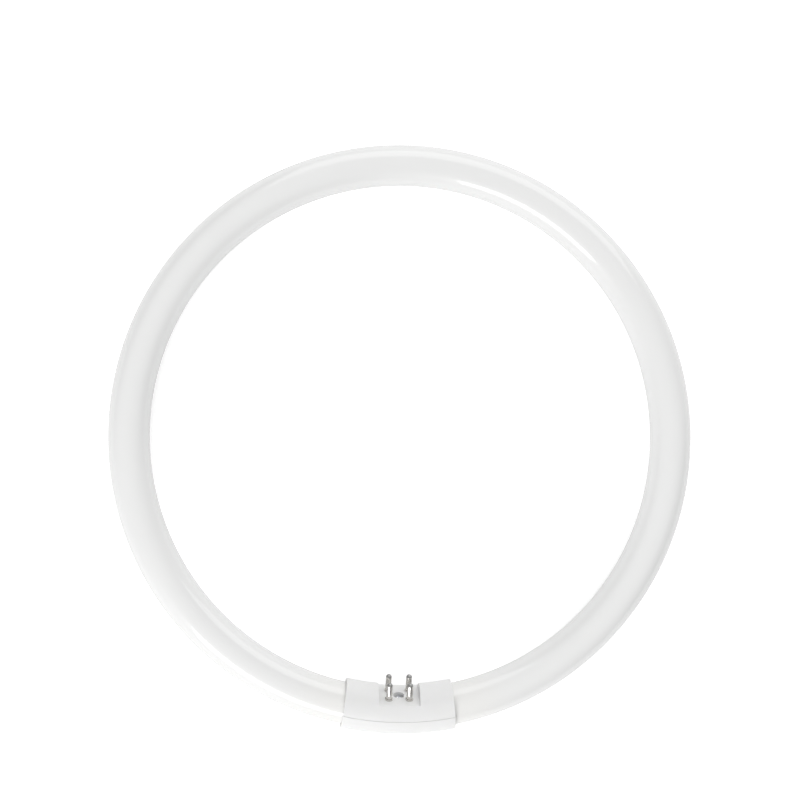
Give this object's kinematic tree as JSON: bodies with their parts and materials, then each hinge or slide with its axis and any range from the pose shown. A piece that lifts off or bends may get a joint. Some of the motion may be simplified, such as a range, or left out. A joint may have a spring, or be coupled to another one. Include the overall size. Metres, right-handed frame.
{
  "type": "circular fluorescent tube",
  "caption": "Circular fluorescent tube: a sealed white glass ring whose ends meet in a plastic cap with contact pins that lean inward and up.",
  "frame": {"origin": "centre of the glass ring, in the plane of the tube's centre line", "axes": "+Z along the ring's axis, on the side that the contact pins lean to; -Y from the centre to the middle of the cap; +X to the right when the ring is seen from +Z with the cap below"},
  "size_m": [0.23, 0.2316, 0.0192],
  "materials": {
    "coated_glass": "clear gloss glass over a white coating, opaque",
    "cap_plastic": "soft white moulding",
    "nickel_plate": "bright nickel plate on brass",
    "plated_steel": "bright zinc plate",
    "copper_wire": "bare copper-clad wire",
    "sleeving": "matt woven sleeving"
  },
  "bodies": {
    "root": {"glass_tube": "coated_glass", "cap_inner_shell": "cap_plastic", "cap_outer_shell": "cap_plastic", "clamp_screw": "plated_steel", "contact_pin_left_front": "nickel_plate", "contact_pin_left_rear": "nickel_plate", "contact_pin_right_front": "nickel_plate", "contact_pin_right_rear": "nickel_plate", "lead_wire_left_front": "copper_wire", "lead_wire_left_rear": "copper_wire", "lead_wire_right_front": "copper_wire", "lead_wire_right_rear": "copper_wire", "lead_sleeve_left_front": "sleeving", "lead_sleeve_left_rear": "sleeving", "lead_sleeve_right_front": "sleeving", "lead_sleeve_right_rear": "sleeving"}
  },
  "joints": []
}
